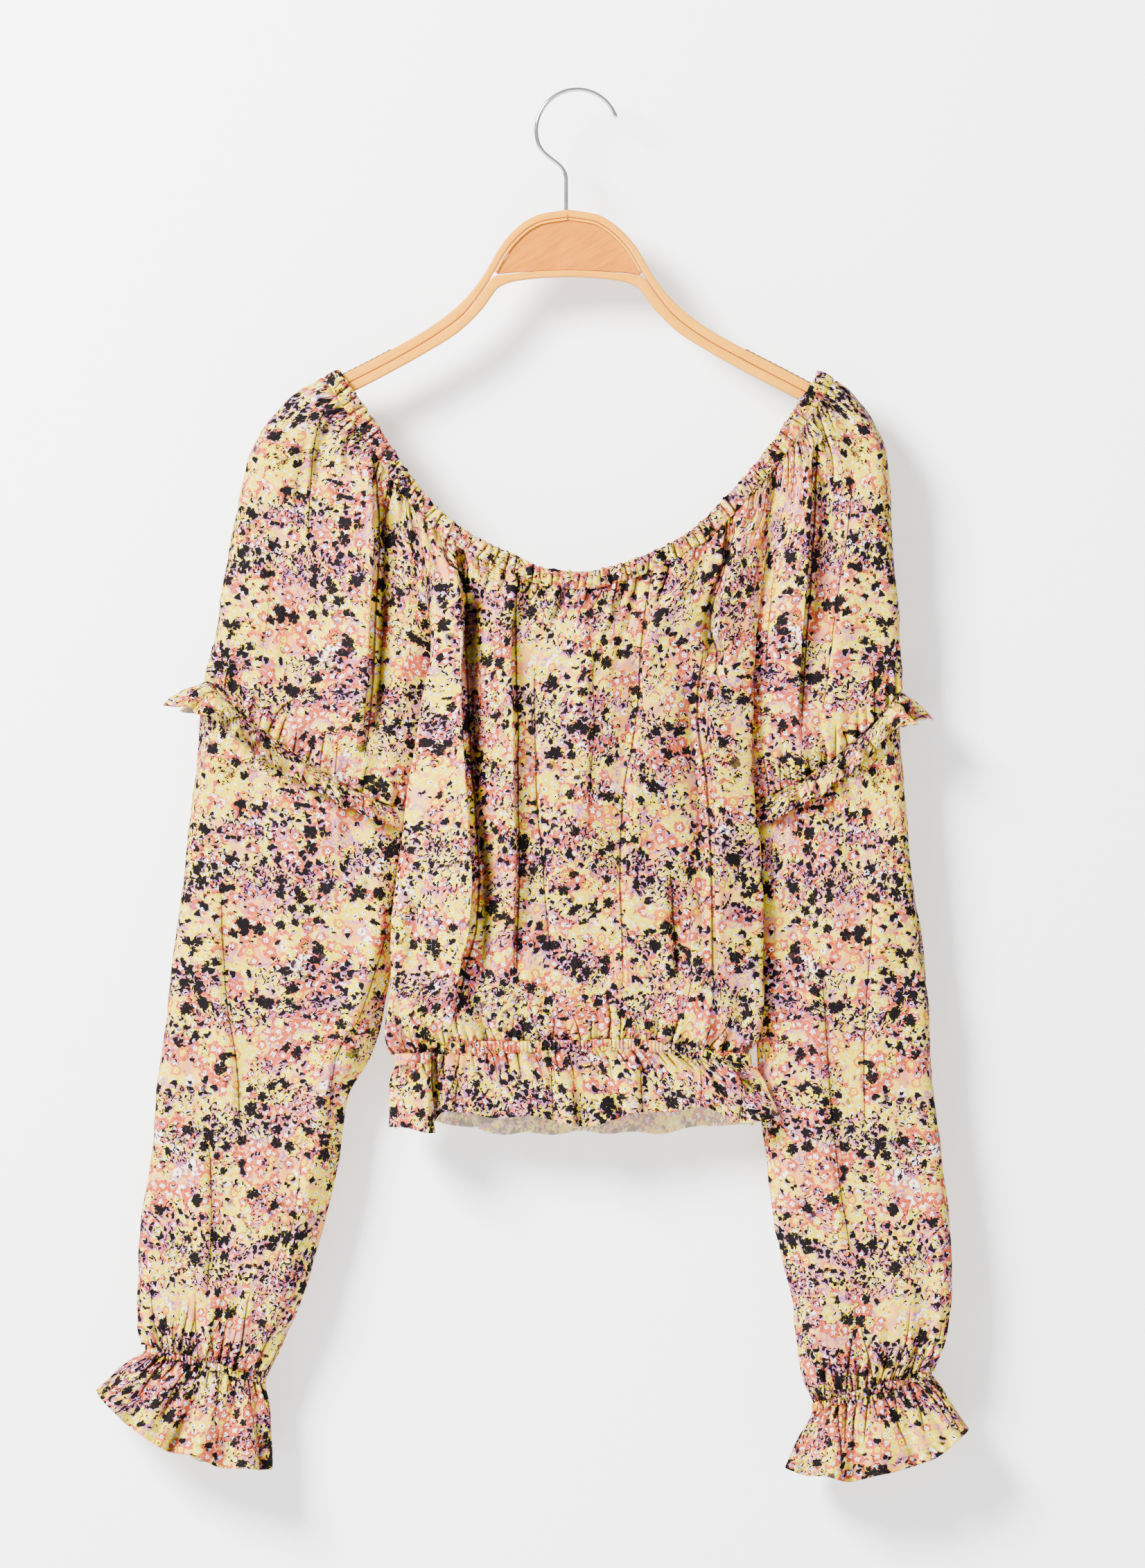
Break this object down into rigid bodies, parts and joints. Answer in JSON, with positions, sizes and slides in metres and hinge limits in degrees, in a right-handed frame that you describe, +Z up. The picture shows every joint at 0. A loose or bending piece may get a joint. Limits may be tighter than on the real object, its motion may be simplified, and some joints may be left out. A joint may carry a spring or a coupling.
{
  "type": "blouse on a hanger",
  "caption": "Long-sleeve cropped blouse with gathered wide neckline, elbow ruffles, frilled cuffs and shirred waist, hung on a wooden hanger with a wire hook.",
  "frame": {"origin": "inner top of the hanger's hook, where the rail or peg carries it", "axes": "+Z up along the hanging blouse; the blouse's front faces -Y; +X to the right as seen from the front"},
  "size_m": [0.6304, 0.0621, 1.0057],
  "materials": {
    "printed_cloth": "thin matt crepe-like viscose with a dense small floral print in yellow, coral, lilac, white and black on peach",
    "bent_wood": "clear satin varnish on pale bent laminated wood",
    "plywood_panel": "darker figured veneer, satin",
    "hook_wire": "bright plated wire",
    "grip_rubber": "matt ribbed strip"
  },
  "bodies": {
    "root": {"blouse_front": "printed_cloth", "blouse_back": "printed_cloth", "sleeve_upper_left": "printed_cloth", "sleeve_upper_right": "printed_cloth", "sleeve_ruffle_left": "printed_cloth", "sleeve_ruffle_right": "printed_cloth", "sleeve_lower_left": "printed_cloth", "sleeve_lower_right": "printed_cloth", "cuff_band_left": "printed_cloth", "cuff_band_right": "printed_cloth", "cuff_frill_left": "printed_cloth", "cuff_frill_right": "printed_cloth", "neck_casing": "printed_cloth", "waist_band": "printed_cloth", "hem_frill_front": "printed_cloth", "hem_frill_back": "printed_cloth", "hanger_bow": "bent_wood", "hanger_panel": "plywood_panel", "hanger_hook": "hook_wire", "hanger_grip_left": "grip_rubber", "hanger_grip_right": "grip_rubber"}
  },
  "joints": []
}
